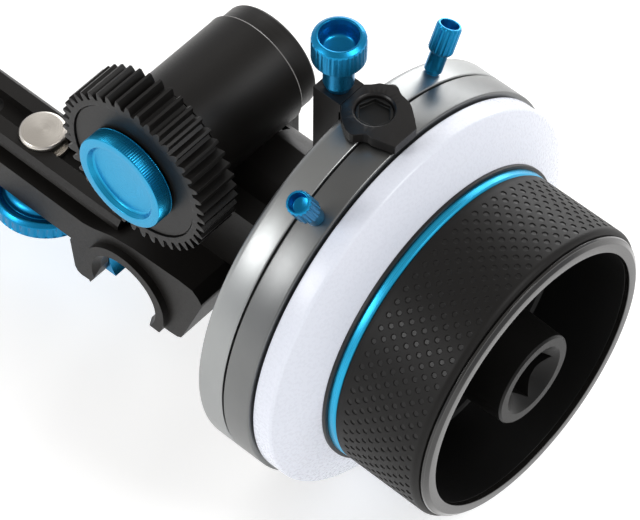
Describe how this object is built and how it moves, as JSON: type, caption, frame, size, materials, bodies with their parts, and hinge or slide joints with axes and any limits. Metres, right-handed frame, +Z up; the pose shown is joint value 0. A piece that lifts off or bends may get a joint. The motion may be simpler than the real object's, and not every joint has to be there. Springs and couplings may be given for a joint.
{
  "type": "follow focus unit",
  "caption": "Geared follow focus with a rod bridge clamp, right-angle gearbox, lens drive gear, gripped handwheel with marking disc and adjustable hard-stop rings.",
  "frame": {"origin": "axis of the rod seat under the gearbox, at the middle of the bridge's width", "axes": "+X along the handwheel axis toward the operator, +Y along the rods away from the drive gear, +Z up"},
  "size_m": [0.1613, 0.0838, 0.1001],
  "materials": {
    "black_anodised": "satin black anodised",
    "blue_anodised": "bright blue anodised",
    "ring_metal": "satin, turned",
    "dark_aluminium": "turned, dark anodised",
    "white_plastic": "smooth gloss",
    "black_acetal": "machined, semi-matte",
    "black_plastic": "semi-matte",
    "rubber": "moulded, dimpled",
    "gloss_black": "polished black",
    "dark_steel": "black oxide",
    "steel": "ground",
    "nickel": "satin nickel",
    "brass": "turned",
    "fibre": "fibre washer"
  },
  "bodies": {
    "base": {"base_clamp": "black_anodised", "dovetail_rail": "black_anodised", "rail_screws": "dark_steel", "clamp_nut": "brass", "gearbox_housing": "black_anodised", "tube_end_cap": "black_anodised", "rear_cover": "black_anodised", "rear_cover_screws": "dark_steel", "base_screws": "dark_steel", "output_bushes": "brass", "wheel_bushes": "brass", "cross_bushes": "brass", "stop_post": "black_anodised", "stop_plate": "black_anodised", "stop_plate_screw": "dark_steel"},
    "clamp_bar": {"clamp_bar": "blue_anodised"},
    "clamp_knob": {"clamp_knob": "blue_anodised", "clamp_stud": "steel", "stud_clip": "dark_steel"},
    "release_button": {"release_button": "nickel", "button_spring": "steel"},
    "handwheel": {"wheel_shaft": "steel", "wheel_bevel": "steel", "rotor_drum": "dark_aluminium", "friction_washer": "fibre", "marking_disc": "white_plastic", "disc_retainer": "black_plastic", "accent_ring": "blue_anodised", "handwheel": "black_anodised", "rubber_grip": "rubber", "front_rim": "gloss_black", "drive_hub": "black_anodised", "axle_screw": "dark_steel", "handwheel_screws": "dark_steel", "hub_screws": "dark_steel"},
    "cross_shaft": {"cross_shaft": "steel", "cross_bevel": "steel", "cross_spur": "steel"},
    "output": {"output_shaft": "steel", "output_pinion": "steel", "drive_gear": "black_acetal"},
    "gear_nut": {"gear_nut": "blue_anodised"},
    "rear_stop_ring": {"rear_stop_ring": "ring_metal"},
    "rear_ring_screw": {"rear_ring_screw": "blue_anodised"},
    "front_stop_ring": {"front_stop_ring": "ring_metal"},
    "front_ring_screw": {"front_ring_screw": "blue_anodised"},
    "stop_knob": {"stop_knob": "blue_anodised"}
  },
  "joints": [
    {"name": "clamp_slide", "type": "slide", "parent": "base", "child": "clamp_bar", "axis": [0, 0, 1], "range_m": [-0.0025, 0]},
    {"name": "clamp_knob_turn", "type": "hinge", "parent": "clamp_bar", "child": "clamp_knob", "pos_m": [-0.03, 0, 0], "axis": [0, 0, 1], "range_deg": [-900, 0]},
    {"name": "release_button_press", "type": "slide", "parent": "base", "child": "release_button", "axis": [0, 0, 1], "range_m": [-0.0018, 0], "stiffness_N_per_m": 400, "springref_m": 0.001, "deforming": ["button_spring"]},
    {"name": "handwheel_turn", "type": "hinge", "parent": "base", "child": "handwheel", "pos_m": [0.0362, 0.0142, 0.0224], "axis": [1, 0, 0], "continuous": true},
    {"name": "cross_shaft_turn", "type": "hinge", "parent": "base", "child": "cross_shaft", "pos_m": [0.00524, 0.0142, 0.0224], "axis": [0, 1, 0], "continuous": true},
    {"name": "output_turn", "type": "hinge", "parent": "base", "child": "output", "pos_m": [0.00524, 0.0142, 0.0424], "axis": [0, 1, 0], "continuous": true},
    {"name": "gear_nut_turn", "type": "hinge", "parent": "output", "child": "gear_nut", "pos_m": [0.00524, -0.0118, 0.0424], "axis": [0, 1, 0], "range_deg": [-720, 0]},
    {"name": "rear_stop_ring_turn", "type": "hinge", "parent": "base", "child": "rear_stop_ring", "pos_m": [0.0397, 0.0142, 0.0224], "axis": [1, 0, 0], "range_deg": [-322.5, 13.5]},
    {"name": "rear_ring_screw_turn", "type": "hinge", "parent": "rear_stop_ring", "child": "rear_ring_screw", "pos_m": [0.0397, 0.03435, 0.06264], "axis": [0, 0.4478, 0.8942], "range_deg": [0, 720]},
    {"name": "front_stop_ring_turn", "type": "hinge", "parent": "base", "child": "front_stop_ring", "pos_m": [0.046, 0.0142, 0.0224], "axis": [1, 0, 0], "range_deg": [-19.7, 320.5]},
    {"name": "front_ring_screw_turn", "type": "hinge", "parent": "front_stop_ring", "child": "front_ring_screw", "pos_m": [0.046, -0.00713, 0.06202], "axis": [0, -0.4741, 0.8805], "range_deg": [0, 720]},
    {"name": "stop_knob_turn", "type": "hinge", "parent": "base", "child": "stop_knob", "pos_m": [0.0328, 0.01505, 0.0724], "axis": [0, 0, 1], "range_deg": [0, 720]}
  ],
  "couplings": [
    {"joint": "clamp_knob_turn", "follows": "clamp_slide", "rad_per_m": 6283.2},
    {"joint": "cross_shaft_turn", "follows": "handwheel_turn", "ratio": -1},
    {"joint": "output_turn", "follows": "handwheel_turn", "ratio": 1}
  ]
}
